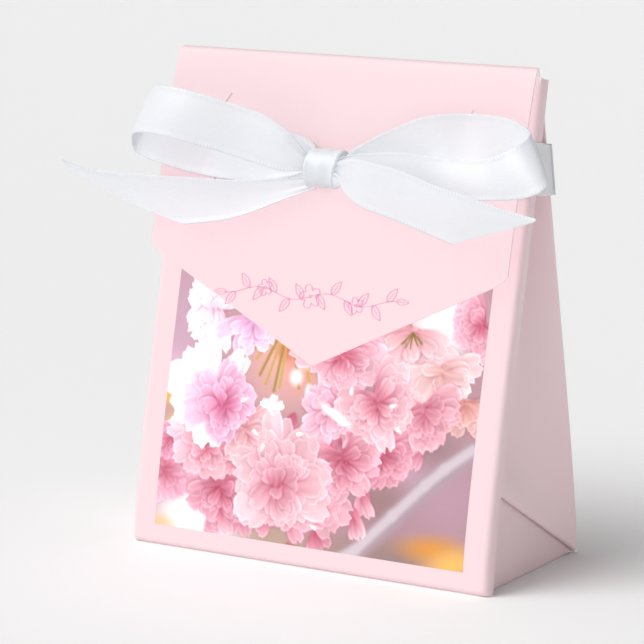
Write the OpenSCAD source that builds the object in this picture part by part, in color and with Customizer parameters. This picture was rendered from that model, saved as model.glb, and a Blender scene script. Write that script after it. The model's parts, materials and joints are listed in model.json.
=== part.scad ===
// Tent-shaped favour box of folded card, tied shut with a satin ribbon bow.
// Origin: centre of the base on the surface it stands on. +Z up, the printed front faces -Y.

/* [Carton] */
// Width of the box across the front
box_w = 101.6; // [90:0.1:115]
// Depth of the base, front to back
base_d = 50; // [44:1:58]
// Height of the top of the ridge fold
box_h = 123.8; // [115:0.1:135]
// Thickness of the card
card_t = 0.45; // [0.35:0.05:0.6]
// How far the side gussets fold inward at the ridge
gusset_depth = 12; // [8:1:16]
// Width of the narrow wing folded from each edge of the front panel
wing_w = 2; // [1.5:0.1:3]

/* [Flap] */
// Width of the closing flap
flap_w = 100.6; // [88:0.1:113]
// Length of the flap's side edges, measured down from the ridge
flap_side = 50; // [44:1:56]
// Length of the flap at its tip
flap_len = 75; // [70:1:80]
// Distance from the fold line to the flap's outer face
fold_r = 1.85; // [1.6:0.05:2.2]
// Distance of each ribbon slit from the middle
slit_x = 34; // [30:1:38]
// Width of a slit
slit_w = 1.4; // [1.2:0.1:2]

/* [Ribbon] */
// Width of the ribbon
ribbon_w = 12.7; // [10:0.1:15]
// Thickness of the ribbon
ribbon_t = 0.3; // [0.25:0.05:0.4]
// Distance from the ridge down the flap to the middle of the ribbon
ribbon_drop = 24.2; // [23:0.1:27]

/* [Hidden] */
CARD = "#FDE4E8";
CARD_SHADE = "#D9BCC1";
SATIN = "#F4F6F9";

// Clearance between pieces that move past each other
gap = 0.3;
half_w = box_w / 2;
half_d = base_d / 2;
// Radius of the rolled edge along the top of the back panel that the flap folds over
bead_r = fold_r - card_t - gap + 0.05;
// The line the flap folds about, a little in front of the middle
ridge_y = -1.2;
ridge_z = box_h - bead_r;
// Tops of the panels, below the fold
back_top = ridge_z - 0.4;
front_top = ridge_z - 4;
// Steps along a curved profile, and points in a rounded corner
profile_steps = 12;
corner_steps = 5;
ribbon_steps = 3;

// Point at t along a cubic curve through its four control points
function bezier(p, t) = pow(1 - t, 3) * p[0] + 3 * pow(1 - t, 2) * t * p[1]
    + 3 * (1 - t) * t * t * p[2] + pow(t, 3) * p[3];
function unit(v) = v / norm(v);
// Half depth and height where the outer faces of the leaning panels end
lean_top = [0.7, 122];
// Control points of the tent's half depth against height: upright at the foot, then leaning in
function half_depth_curve() = [[half_d, 0], [half_d - 0.3, 18], [11.2, 68], lean_top];
// Half depth of the outer faces at height z, by bisecting the curve
function curve_at(z, lo = 0, hi = 1, n = 18) = let (m = (lo + hi) / 2)
    n == 0 ? bezier(half_depth_curve(), m)[0]
    : bezier(half_depth_curve(), m)[1] < z ? curve_at(z, m, hi, n - 1) : curve_at(z, lo, m, n - 1);
// Moves each point of an open curve sideways by d, to the left of its direction
function shifted(c, d) = [for (i = [0:len(c) - 1])
    let (a = c[max(i - 1, 0)], b = c[min(i + 1, len(c) - 1)], u = unit(b - a)) c[i] + d * [-u[1], u[0]]];
// Outline of a strip of thickness t on the left of an open curve
function strip(c, t) = concat(c, [for (i = [len(c) - 1:-1:0]) shifted(c, t)[i]]);
function reversed(c) = [for (i = [len(c) - 1:-1:0]) c[i]];

// Profile of the leaning panels from the base up to height top
function panel_curve(top) = [for (i = [0:profile_steps]) let (z = top * i / profile_steps) [curve_at(z), z]];

// Flap's outer profile: distances down from the fold line and out from the front panel's slope
flap_curve = [[0, fold_r], [15, 4.2], [45, 6.2], [flap_len, 5.6]];
panel_lean = atan((half_d - lean_top[0]) / lean_top[1]);
function flap_point(t) = let (q = bezier(flap_curve, t), c = cos(panel_lean), s = sin(panel_lean))
    [ridge_y - q[0] * s - q[1] * c, ridge_z - q[0] * c + q[1] * s];
flap_profile = [for (i = [0:profile_steps]) flap_point(i / profile_steps)];

// Arc of radius r that rounds the corner at p between the directions to a and b
function fillet(a, p, b, r) = let (u = unit(a - p), v = unit(b - p), h = acos(u * v) / 2,
        c = p + unit(u + v) * r / sin(h), f = p + u * r / tan(h) - c, g = p + v * r / tan(h) - c)
    [for (i = [0:corner_steps]) c + r * unit(f * (1 - i / corner_steps) + g * i / corner_steps)];

// Extrudes an outline drawn in Y and Z along X, centred
module along_x(w) {
    translate([-w / 2, 0, 0]) rotate([90, 0, 90]) linear_extrude(w) children();
}

// Closed sheet between two grids of points, the first one outside
module sheet(outer, inner) {
    n = len(outer);
    m = len(outer[0]);
    points = concat([for (r = outer) each r], [for (r = inner) each r]);
    function at(i, j, k) = k * n * m + i * m + j;
    faces = concat(
        [for (i = [0:n - 2]) for (j = [0:m - 2]) each [
            [at(i, j, 0), at(i + 1, j, 0), at(i + 1, j + 1, 0)],
            [at(i, j, 0), at(i + 1, j + 1, 0), at(i, j + 1, 0)],
            [at(i, j, 1), at(i + 1, j + 1, 1), at(i + 1, j, 1)],
            [at(i, j, 1), at(i, j + 1, 1), at(i + 1, j + 1, 1)]]],
        [for (i = [0:n - 2]) each [
            [at(i, 0, 0), at(i, 0, 1), at(i + 1, 0, 1)],
            [at(i, 0, 0), at(i + 1, 0, 1), at(i + 1, 0, 0)],
            [at(i, m - 1, 0), at(i + 1, m - 1, 1), at(i, m - 1, 1)],
            [at(i, m - 1, 0), at(i + 1, m - 1, 0), at(i + 1, m - 1, 1)]]],
        [for (j = [0:m - 2]) each [
            [at(0, j, 0), at(0, j + 1, 1), at(0, j, 1)],
            [at(0, j, 0), at(0, j + 1, 0), at(0, j + 1, 1)],
            [at(n - 1, j, 0), at(n - 1, j, 1), at(n - 1, j + 1, 1)],
            [at(n - 1, j, 0), at(n - 1, j + 1, 1), at(n - 1, j + 1, 0)]]]);
    polyhedron(points, faces);
}

// ---- Carton ----

module base_panel() {
    inset = card_t + gap;
    color(CARD_SHADE) translate([-half_w + inset, -half_d + inset, 0])
        cube([box_w - 2 * inset, base_d - 2 * inset, card_t]);
}

module back_panel() {
    color(CARD) {
        along_x(box_w) polygon(strip(panel_curve(back_top), card_t));
        // rolled edge the flap's fold turns on
        along_x(flap_w) translate([ridge_y, ridge_z]) circle(bead_r, $fn = 32);
        // web from the panel's top edge to the rolled edge
        web = curve_at(back_top) - card_t / 2;
        web_t = 0.8;
        edge = 0.1;
        along_x(flap_w) polygon([[ridge_y, ridge_z - web_t], [web, back_top - web_t - 2 * edge],
            [web, back_top - edge], [ridge_y, ridge_z]]);
    }
}

module front_panel() {
    color(CARD) mirror([0, 1, 0]) along_x(box_w) polygon(strip(panel_curve(front_top), card_t));
}

// Outline of the flap in X and Z, with rounded corners and a centred tip
module flap_outline() {
    corner_r = 2;
    tip_r = 1;
    hw = flap_w / 2;
    down = cos(panel_lean);
    top = [hw, ridge_z + 1];
    side = [hw, ridge_z - flap_side * down];
    tip = [0, ridge_z - flap_len * down];
    half = concat([top], fillet(top, side, tip, corner_r));
    polygon(concat(half, fillet(side, tip, [-side[0], side[1]], tip_r),
        reversed([for (p = half) [-p[0], p[1]]])));
}

// Slot with round ends that the ribbon passes through; how far its ends lie below the fold
slit_start = 10.6;
slit_end = 32.5;
module slit() {
    top = ridge_z - slit_start;
    bottom = ridge_z - slit_end;
    translate([-slit_w / 2, bottom]) square([slit_w, top - bottom]);
    for (z = [top, bottom])
        translate([0, z]) circle(slit_w / 2, $fn = 24);
}

module top_flap() {
    reach = 60;
    color(CARD) intersection() {
        along_x(flap_w) polygon(strip(flap_profile, card_t));
        translate([0, reach / 3, 0]) rotate([90, 0, 0]) linear_extrude(reach) difference() {
            flap_outline();
            for (side = [-1, 1])
                translate([side * slit_x, 0]) slit();
        }
    }
}

// How far the gusset's valley lies inside the box at height z: hardly at the foot, fully at the ridge
valley_power = 2.2;
function valley(z) = gusset_depth * pow(z / ridge_z, valley_power);

// Height where the front wing and the front half of the gusset end, above the ribbon
wing_top = front_top - 14;

// Half of a side gusset, from its edge to the valley, on the right; dir -1 is the front half
module gusset_half(dir, low, top, inset) {
    rows = 10;
    half_crease = 0.2;
    color(CARD_SHADE) {
        grid = [for (i = [0:rows]) [for (k = [0, 1])
            let (z = low(k) + (top - low(k)) * i / rows)
            k == 0 ? [half_w - valley(z), dir * half_crease, z]
            : [half_w, dir * (curve_at(z) - inset), z]]];
        back = [for (r = grid) [for (p = r) p - [card_t, 0, 0]]];
        if (dir > 0)
            sheet(grid, back);
        else
            sheet(back, grid);
    }
}

// Fold line across the foot of the side, from the front edge down to the rear corner
tab_front = [-(half_d - 7.4), 23.4];
tab_rear = [half_d - 3, 1.6];
function fold_z(y) = tab_front[1]
    + (tab_rear[1] - tab_front[1]) * (y - tab_front[0]) / (tab_rear[0] - tab_front[0]);

// Rear half: from the valley at the middle to the back panel
module gusset_rear_right() {
    gusset_half(1, function (k) k == 0 ? fold_z(0) : tab_rear[1], front_top - 1, card_t + 0.1);
}
module gusset_rear_left() { mirror([1, 0, 0]) gusset_rear_right(); }

// Front half: moves with the front panel
module gusset_front_right() {
    gusset_half(-1, function (k) k == 0 ? fold_z(0) : tab_front[1], wing_top, card_t + wing_w + 0.3);
}
module gusset_front_left() { mirror([1, 0, 0]) gusset_front_right(); }

// Triangular tab that stands up from the base inside the side
module base_tab_right() {
    x = half_w - 2 * card_t - gap;
    foot = card_t + 0.1;
    // inner corner of the tab at the rear, its point near the front, and its corner at the front
    rear = [half_d - 2, foot + 1];
    point = [tab_front[0] - 0.2, tab_front[1] + 1];
    front = [-half_d + 1.6, foot];
    point_r = 2;
    color(CARD_SHADE) translate([x - card_t / 2, 0, 0]) rotate([90, 0, 90]) linear_extrude(card_t)
        polygon(concat([[rear[0], foot], rear], fillet(rear, point, front, point_r), [front]));
}
module base_tab_left() { mirror([1, 0, 0]) base_tab_right(); }

// Narrow wing folded round from the edge of the front panel
module front_wing_right() {
    c = [for (p = panel_curve(wing_top)) [-p[0] + card_t + 0.12, p[1] + 0.2]];
    color(CARD) translate([half_w - card_t, 0, 0]) rotate([90, 0, 90]) linear_extrude(card_t)
        polygon(concat(c, reversed([for (p = c) p + [wing_w, 0]])));
}
module front_wing_left() { mirror([1, 0, 0]) front_wing_right(); }

// ---- Ribbon ----

ribbon_mid = ridge_z - ribbon_drop * cos(panel_lean);
ribbon_low = ribbon_mid - ribbon_w / 2;
ribbon_high = ribbon_mid + ribbon_w / 2;

// Band across the back panel
module ribbon_back() {
    c = [for (z = [ribbon_low, ribbon_mid, ribbon_high]) [curve_at(z) + 0.05, z]];
    color(SATIN) along_x(box_w + 2 * ribbon_t) polygon(strip(reversed(c), ribbon_t));
}

// Band straight across the open side, edge to edge
module ribbon_side_right() {
    front = [for (z = [ribbon_low, ribbon_high]) [-curve_at(z), z]];
    rear = [for (z = [ribbon_high, ribbon_low]) [curve_at(z), z]];
    color(SATIN) translate([half_w + 0.05, 0, 0]) rotate([90, 0, 90]) linear_extrude(ribbon_t)
        polygon(concat(front, rear));
}
module ribbon_side_left() { mirror([1, 0, 0]) ribbon_side_right(); }

// Strand from the front corner, behind the flap, out through its slit and over it to the knot
// Share along the flap's curve, and lean from upright, where the middle of the ribbon crosses it
ribbon_share = 0.41;
ribbon_lean = 14.4;
// Distances from the middle of the box and back from the flap's outer face
strand_route = [[half_w - 0.3, 3.6], [slit_x + 3, 1.5], [slit_x + 0.15, 0.9],
    [slit_x - 0.15, -0.25], [slit_x - 2, -0.3], [5, -0.3]];
module ribbon_strand_right() {
    base = flap_point(ribbon_share);
    color(SATIN) translate([0, base[0], base[1]]) rotate([-ribbon_lean, 0, 0])
        linear_extrude(ribbon_w, center = true) polygon(strip(strand_route, ribbon_t));
}
module ribbon_strand_left() { mirror([1, 0, 0]) ribbon_strand_right(); }

// Barrel of the wrapped knot
knot_y = -15.4;
knot_z = 97.7;
knot_r = 4;
knot_h = 9.4;
module bow_knot() {
    round = 1.6;
    foot = [0, 0];
    low = [knot_r, 0];
    high = [knot_r, knot_h];
    top = [0, knot_h];
    color(SATIN) translate([0, knot_y, knot_z]) rotate([-ribbon_lean, 0, 0])
        translate([0, 0, -knot_h / 2]) rotate_extrude($fn = 48)
        polygon(concat([foot], fillet(foot, low, high, round), fillet(low, high, top, round), [top]));
}

// Point on the smooth curve through the points p, at station i plus t
function smooth(p, i, t) = let (n = len(p) - 1, a = p[max(i - 1, 0)], b = p[i],
        c = p[min(i + 1, n)], d = p[min(i + 2, n)])
    0.5 * (2 * b + (c - a) * t + (2 * a - 5 * b + 4 * c - d) * t * t + (3 * b - a - 3 * c + d) * t * t * t);
function smoothed(p) = concat([for (i = [0:len(p) - 2]) for (k = [0:ribbon_steps - 1])
    smooth(p, i, k / ribbon_steps)], [p[len(p) - 1]]);

// Ribbon between an upper and a lower edge, each a list of points
module satin(upper, lower) {
    u = smoothed(upper);
    l = smoothed(lower);
    n = len(u) - 1;
    function middle(i) = u[i] + l[i];
    function face(i) = unit(cross(middle(min(i + 1, n)) - middle(max(i - 1, 0)), u[i] - l[i] + [0, 0, 0.001]));
    outer = [for (i = [0:n]) [u[i] + face(i) * ribbon_t / 2, l[i] + face(i) * ribbon_t / 2]];
    inner = [for (i = [0:n]) [u[i] - face(i) * ribbon_t / 2, l[i] - face(i) * ribbon_t / 2]];
    color(SATIN) sheet(outer, inner);
}

// Loops run from the knot out along one side and back along the other
module loop_left() {
    satin([[-4.6, -16.5, 102], [-9, -18, 107], [-16.5, -19, 110.5], [-25, -19.5, 112.5],
        [-33, -19, 114], [-43, -17.5, 115], [-51, -14.5, 114.5], [-53.5, -12, 111.5],
        [-50, -10, 108.5], [-34.5, -11, 105.5], [-19.5, -12, 103.5], [-7, -13.5, 101], [-4.8, -14, 100.5]],
        [[-4.6, -17, 97.5], [-10.5, -19, 97], [-19.5, -21, 99], [-28, -22, 101],
        [-36.5, -22, 102.5], [-45.5, -21, 103.5], [-54.5, -18.5, 103], [-57.5, -15.5, 100],
        [-54, -13.5, 96.5], [-39, -14, 93.5], [-21, -14.6, 92.8], [-7, -14.8, 95.8], [-4.8, -15, 96.2]]);
}

module loop_right() {
    satin([[4.8, -14, 101], [9, -12.5, 104.5], [16, -11.5, 108], [26, -11, 111.5],
        [36.5, -10.5, 113], [47, -11, 112.5], [54, -14, 111], [56, -18, 108.5],
        [53, -21.5, 106], [44.5, -23, 103.5], [31, -22, 103.5], [22, -20, 103.5],
        [9, -17, 102], [4.7, -16.2, 101]],
        [[4.8, -14.6, 97], [11.5, -14.2, 98], [19, -13.8, 98], [29.5, -14, 100.5],
        [41, -14.5, 102.5], [51, -16, 102], [60, -19.5, 101], [62, -22.5, 99],
        [59.5, -24.5, 97], [52.5, -25.5, 95.5], [37, -24.5, 94], [25.5, -21.5, 94.5],
        [9.5, -17.5, 97.5], [4.7, -16.8, 97.5]]);
}

module tail_left() {
    satin([[-4.6, -15.8, 95.2], [-11.5, -16, 94.6], [-25, -16.8, 93.2], [-34, -17.2, 93],
        [-46, -17.5, 92.7], [-57.5, -17.8, 92.5], [-68.5, -18, 93], [-75.5, -18.2, 94.5]],
        [[-4.6, -16.2, 91.8], [-10.5, -17.2, 89.5], [-23, -18.8, 84.5], [-31, -19.4, 82.5],
        [-38.5, -19.6, 82.5], [-47.5, -19.4, 84.5], [-65, -18.8, 90], [-75.3, -18.5, 94]]);
}

module tail_right() {
    satin([[4.7, -18.2, 100.5], [10, -19.8, 101.3], [17, -22.5, 101.2], [26.5, -25, 100], [35.5, -27, 98],
        [44, -28.2, 96.5], [54.5, -28.8, 94], [61.5, -28.8, 93], [64, -28.3, 93]],
        [[4.5, -18.2, 95], [8, -19.8, 92.8], [14, -22.5, 90.5], [24, -25, 88.5], [35.5, -27, 86],
        [42.5, -28.2, 84.5], [49.5, -28.8, 86.5], [57, -28.8, 89.5], [64.2, -28.3, 92.5]]);
}

base_panel();
back_panel();
front_panel();
top_flap();
gusset_rear_left();
gusset_rear_right();
gusset_front_left();
gusset_front_right();
base_tab_left();
base_tab_right();
front_wing_left();
front_wing_right();
ribbon_back();
ribbon_side_left();
ribbon_side_right();
ribbon_strand_left();
ribbon_strand_right();
bow_knot();
loop_left();
loop_right();
tail_left();
tail_right();
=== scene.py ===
"""Looks of the tent-shaped favour box and its satin bow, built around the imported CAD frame."""
import json
import math

import bpy
import numpy as np
from mathutils import Matrix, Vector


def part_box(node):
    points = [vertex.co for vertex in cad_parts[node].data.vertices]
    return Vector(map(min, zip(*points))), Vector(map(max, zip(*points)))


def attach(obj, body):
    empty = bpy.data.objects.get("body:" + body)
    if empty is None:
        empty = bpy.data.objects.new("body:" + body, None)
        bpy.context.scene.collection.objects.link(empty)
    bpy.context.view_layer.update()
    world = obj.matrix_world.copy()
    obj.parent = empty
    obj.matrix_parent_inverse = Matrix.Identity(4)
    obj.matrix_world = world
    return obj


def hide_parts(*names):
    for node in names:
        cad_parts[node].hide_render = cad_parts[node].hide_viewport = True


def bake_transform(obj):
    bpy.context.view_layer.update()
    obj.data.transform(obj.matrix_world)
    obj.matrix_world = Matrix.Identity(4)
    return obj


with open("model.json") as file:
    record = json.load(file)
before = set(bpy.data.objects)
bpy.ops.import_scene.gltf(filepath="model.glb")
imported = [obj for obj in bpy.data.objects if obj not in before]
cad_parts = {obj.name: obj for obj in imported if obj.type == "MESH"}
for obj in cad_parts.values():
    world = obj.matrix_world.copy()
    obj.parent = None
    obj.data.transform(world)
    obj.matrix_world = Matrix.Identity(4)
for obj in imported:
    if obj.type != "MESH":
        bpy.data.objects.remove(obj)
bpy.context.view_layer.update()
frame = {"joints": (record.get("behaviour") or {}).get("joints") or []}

MM = 0.001


# ---------------------------------------------------------------- frame values

def box_mm(node):
    """Lowest and highest corner of a CAD node, in millimetres."""
    low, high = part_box(node)
    return np.array(low) / MM, np.array(high) / MM


def joint_mm(name):
    """Place of a joint's axis, in millimetres."""
    found = [j for j in frame["joints"] if j["name"] == name]
    return np.array(found[0]["pos_m"]) / MM


FRONT_LOW, FRONT_HIGH = box_mm("front_panel")
HALF_W = FRONT_HIGH[0]
HALF_D = -FRONT_LOW[1]
FRONT_TOP = FRONT_HIGH[2]
RIDGE_Y, RIDGE_Z = joint_mm("flap_fold")[1:]
RIDGE_TOP = box_mm("back_panel")[1][2]
FLAP_HALF = box_mm("top_flap")[1][0]
FLAP_LEN = 75.0
FLAP_SIDE = 50.0
CARD_T = 0.45
SIDE_T = 0.8 * CARD_T
BELT_LOW, BELT_HIGH = (corner[2] for corner in box_mm("ribbon_side_right"))
BELT_MID = (BELT_LOW + BELT_HIGH) / 2
RIBBON_W = BELT_HIGH - BELT_LOW
KNOT = joint_mm("tail_left_swing")
SLIT_X = 34.0
GUSSET_DEPTH = 12.0
# picot threads: their spacing, and the share of the ribbon's half width that they take
RIB_PITCH = 0.85
SELVEDGE = 0.15
FLAP_LEAN = math.radians(14.4)
# ink lies this far off the card
INK_LIFT = 0.03


# ---------------------------------------------------------------- camera

def look_from(azimuth, elevation, roll, target, distance, lens):
    """Camera that looks at target; azimuth 0 looks along +Y."""
    data = bpy.data.cameras.new("view_camera")
    data.lens = lens
    data.sensor_width = 36.0
    data.clip_start = 0.01
    data.clip_end = 50.0
    camera = bpy.data.objects.new("view_camera", data)
    aim = Matrix.Rotation(math.radians(azimuth), 4, "Z")
    aim = aim @ Matrix.Rotation(math.radians(90 - elevation), 4, "X")
    aim = aim @ Matrix.Rotation(math.radians(roll), 4, "Z")
    camera.matrix_world = Matrix.Translation(target) @ aim @ Matrix.Translation((0, 0, distance))
    bpy.context.scene.collection.objects.link(camera)
    bpy.context.scene.camera = camera


look_from(azimuth=30.8, elevation=10.66, roll=0.307, target=(-0.00996, 0, 0.05652),
          distance=0.76512, lens=170.94)


# ---------------------------------------------------------------- floor and light

def floor():
    """Pale floor that sweeps up into a backdrop far from the object."""
    flat, sweep, around = 4.0, 1.4, 96
    profile = [(0.0, 0.0), (flat, 0.0)]
    for a in np.linspace(0, math.pi / 2, 13)[1:]:
        profile.append((flat + sweep * math.sin(a), sweep * (1 - math.cos(a))))
    turns = [2 * math.pi * k / around for k in range(around + 1)]
    points = [(r * math.cos(a), r * math.sin(a), z) for r, z in profile for a in turns]
    faces = grid_faces(len(profile), len(turns))
    obj = mesh_object("floor", np.array(points) / MM, faces, [floor_paint()])
    return obj


def floor_paint():
    mat, _, shader = new_material("floor_paint")
    shader.inputs["Base Color"].default_value = (0.955, 0.955, 0.955, 1)
    shader.inputs["Roughness"].default_value = 0.9
    shader.inputs["Specular IOR Level"].default_value = 0.1
    return mat


def sun(name, azimuth, elevation, strength, angle):
    """Soft sun; azimuth 0 shines along +Y."""
    data = bpy.data.lights.new(name, "SUN")
    data.energy = strength
    data.angle = math.radians(angle)
    lamp = bpy.data.objects.new(name, data)
    lamp.rotation_euler = (math.radians(90 - elevation), 0, math.radians(azimuth))
    bpy.context.scene.collection.objects.link(lamp)
    return lamp


def spare(name, objects):
    """A collection that leaves the given objects out of a lamp's light or shadow."""
    spared = bpy.data.collections.new(name)
    for obj in objects:
        spared.objects.link(obj)
    for entry in spared.collection_objects:
        entry.light_linking.link_state = "EXCLUDE"
    return spared


def studio():
    """World light that is brightest on the front left."""
    azimuth, elevation = math.radians(-45), math.radians(35)
    darkest, brightest = 0.12, 0.84
    world = bpy.data.worlds.new("studio")
    bpy.context.scene.world = world
    world.use_nodes = True
    tree = world.node_tree
    lobe = add(tree, "ShaderNodeVectorMath", operation="DOT_PRODUCT",
               _0=add(tree, "ShaderNodeTexCoord").outputs["Generated"],
               _1=(math.sin(azimuth) * math.cos(elevation), -math.cos(azimuth) * math.cos(elevation),
                   math.sin(elevation)))
    level = add(tree, "ShaderNodeMapRange", Value=lobe.outputs["Value"], To_Min=darkest, To_Max=brightest)
    background = tree.nodes["Background"]
    background.inputs["Color"].default_value = (1, 1, 1, 1)
    tree.links.new(level.outputs["Result"], background.inputs["Strength"])
    bpy.context.scene.view_settings.view_transform = "Standard"


def lamps(stage, base, clear):
    """A broad key lamp that casts no shadow of the clear pieces, and two shadowless fills."""
    key = sun("key", azimuth=-38, elevation=47, strength=1.88, angle=45)
    key.light_linking.blocker_collection = spare("lets_key_through", clear)
    fill = sun("fill", azimuth=12, elevation=5, strength=0.36, angle=30)
    fill.data.specular_factor = 0.3
    data = bpy.data.lights.new("rear_fill", "POINT")
    data.energy = 0.055
    data.shadow_soft_size = 0.02
    data.specular_factor = 0.0
    rear = bpy.data.objects.new("rear_fill", data)
    rear.location = (0.124, 0.09, 0.05)
    bpy.context.scene.collection.objects.link(rear)
    for lamp, unlit in ((fill, [stage]), (rear, [stage, base])):
        lamp.data.use_shadow = False
        lamp.light_linking.receiver_collection = spare("not_filled", unlit)


# ---------------------------------------------------------------- materials

def new_material(name):
    mat = bpy.data.materials.new(name)
    mat.use_nodes = True
    tree = mat.node_tree
    return mat, tree, tree.nodes["Principled BSDF"]


def add(tree, kind, **values):
    """Adds a node. A key is a property, a socket's name or _ and its number; an output given is linked."""
    node = tree.nodes.new(kind)
    for key, value in values.items():
        if hasattr(node, key):
            setattr(node, key, value)
            continue
        socket = node.inputs[int(key[1:]) if key[0] == "_" else key.replace("_", " ")]
        if isinstance(value, bpy.types.NodeSocket):
            tree.links.new(value, socket)
        else:
            socket.default_value = value
    return node


def math_node(tree, operation, *values):
    sockets = {"_%d" % k: value for k, value in enumerate(values)}
    return add(tree, "ShaderNodeMath", operation=operation, **sockets).outputs[0]


def noise(tree, place, **values):
    return add(tree, "ShaderNodeTexNoise", Vector=place, **values).outputs["Fac"]


def ramp(tree, level, *stops):
    """Colour between two stops of (position, colour)."""
    node = add(tree, "ShaderNodeValToRGB", Fac=level)
    for element, (position, colour) in zip(node.color_ramp.elements, stops):
        element.position = position
        element.color = (*colour, 1)
    return node.outputs["Color"]


def scaled(tree, colour, factor):
    return add(tree, "ShaderNodeVectorMath", operation="SCALE", _0=colour, Scale=factor).outputs["Vector"]


def surface(tree, shader, colour, height, bump, roughness, specular):
    """Sets the shader's colour, gloss and fine relief; bump is (strength, distance in metres)."""
    relief = add(tree, "ShaderNodeBump", Strength=bump[0], Distance=bump[1], Height=height)
    tree.links.new(colour, shader.inputs["Base Color"])
    tree.links.new(relief.outputs["Normal"], shader.inputs["Normal"])
    shader.inputs["Roughness"].default_value = roughness
    shader.inputs["Specular IOR Level"].default_value = specular


def card_material(name, colour, roughness, speckle):
    """Smooth folding card: faint cloudiness, fine fibres in the surface."""
    mat, tree, shader = new_material(name)
    place = add(tree, "ShaderNodeTexCoord").outputs["Object"]
    cloud = noise(tree, place, Scale=60.0, Detail=3.0)
    fibre = noise(tree, place, Scale=2600.0, Detail=4.0, Roughness=0.7)
    grain = noise(tree, place, Scale=900.0, Detail=2.0)
    level = math_node(tree, "MULTIPLY", math_node(tree, "ADD", cloud, grain), 0.5)
    dark = [c * (1 - speckle) for c in colour]
    tone = ramp(tree, level, (0.3, dark), (0.7, colour))
    surface(tree, shader, tone, fibre, (0.12, 0.00004), roughness, 0.3)
    return mat


def satin_material():
    """White satin: long floats along the ribbon, ribbed selvedges, cool in the shade."""
    mat, tree, shader = new_material("white_satin")
    cloth = add(tree, "ShaderNodeAttribute", attribute_name="cloth").outputs["Vector"]
    split = add(tree, "ShaderNodeSeparateXYZ", _0=cloth)
    stretch = add(tree, "ShaderNodeMapping", Vector=cloth, Scale=(0.5, 16.0, 1.0))
    floats = noise(tree, stretch.outputs["Vector"], Scale=1.0, Detail=3.0)
    tone = ramp(tree, floats, (0.25, (0.65, 0.675, 0.715)), (0.75, (0.73, 0.75, 0.78)))
    # painted light and shade of the selvedge ribs: faint ticks along both edges, lighter on each rib and
    # darker between ribs
    beat = math_node(tree, "MULTIPLY", split.outputs["X"], 2 * math.pi / RIB_PITCH)
    rib_shade_tick = math_node(tree, "COSINE", beat)
    outer = add(tree, "ShaderNodeMapRange", Value=math_node(tree, "ABSOLUTE", split.outputs["Y"]),
                From_Min=RIBBON_W / 2 * (1 - 1.1 * SELVEDGE), From_Max=RIBBON_W / 2 * (1 - 0.9 * SELVEDGE),
                To_Max=0.03)
    # shade carries the painted light and shade of the ribs into the satin's colour
    shade = math_node(tree, "MULTIPLY_ADD", rib_shade_tick, outer.outputs["Result"], 1.0)
    surface(tree, shader, scaled(tree, tone, shade), floats, (0.2, 0.00003), 0.36, 0.6)
    shader.inputs["Subsurface Weight"].default_value = 0.5
    shader.inputs["Subsurface Radius"].default_value = (1, 1, 1)
    shader.inputs["Subsurface Scale"].default_value = 0.001
    return mat


def ink_material():
    """Offset print on the card: the painted colours, with a trace of paper grain."""
    mat, tree, shader = new_material("printed_picture")
    ink = add(tree, "ShaderNodeAttribute", attribute_name="ink").outputs["Color"]
    grain = noise(tree, add(tree, "ShaderNodeTexCoord").outputs["Object"], Scale=2200.0, Detail=3.0)
    tone = add(tree, "ShaderNodeMapRange", Value=grain, To_Min=0.96, To_Max=1.03).outputs["Result"]
    surface(tree, shader, scaled(tree, ink, tone), grain, (0.1, 0.00003), 0.42, 0.35)
    return mat


PINK = card_material("pink_card_face", (0.84, 0.645, 0.675), 0.5, 0.012)
WHITE = card_material("white_card_back", (0.88, 0.86, 0.85), 0.8, 0.03)
EDGE = card_material("cut_card_edge", (0.95, 0.80, 0.82), 0.85, 0.03)
SATIN = satin_material()


# ---------------------------------------------------------------- mesh helpers

def mesh_object(name, points, faces, materials, indices=None, cloth=None):
    """Smooth-shaded mesh from points in millimetres."""
    mesh = bpy.data.meshes.new(name)
    mesh.from_pydata((np.asarray(points) * MM).tolist(), [], faces)
    for mat in materials:
        mesh.materials.append(mat)
    if indices is not None:
        mesh.polygons.foreach_set("material_index", indices)
    mesh.polygons.foreach_set("use_smooth", [True] * len(mesh.polygons))
    if cloth is not None:
        attribute = mesh.attributes.new("cloth", "FLOAT_VECTOR", "POINT")
        attribute.data.foreach_set("vector", np.asarray(cloth, np.float32).ravel())
    mesh.update()
    obj = bpy.data.objects.new(name, mesh)
    bpy.context.scene.collection.objects.link(obj)
    return obj


def grid_faces(rows, cols, keep=None):
    """Quads of a grid, facing along rows x cols; keep(i, j, cell) may drop or cut a cell."""
    faces = []
    for i in range(rows - 1):
        for j in range(cols - 1):
            cell = [i * cols + j, (i + 1) * cols + j, (i + 1) * cols + j + 1, i * cols + j + 1]
            corners = cell if keep is None else keep(i, j, cell)
            if corners:
                faces.append(corners)
    return faces


def closed(faces, count):
    """Inside faces and rim that make a solid of a surface; the inside's points come count places later."""
    border = {}
    for f in faces:
        for edge in zip(f, f[1:] + f[:1]):
            if edge[::-1] in border:
                del border[edge[::-1]]
            else:
                border[edge] = True
    inside = [[c + count for c in f[::-1]] for f in faces]
    return inside, [[q, p, p + count, q + count] for p, q in border]


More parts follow.
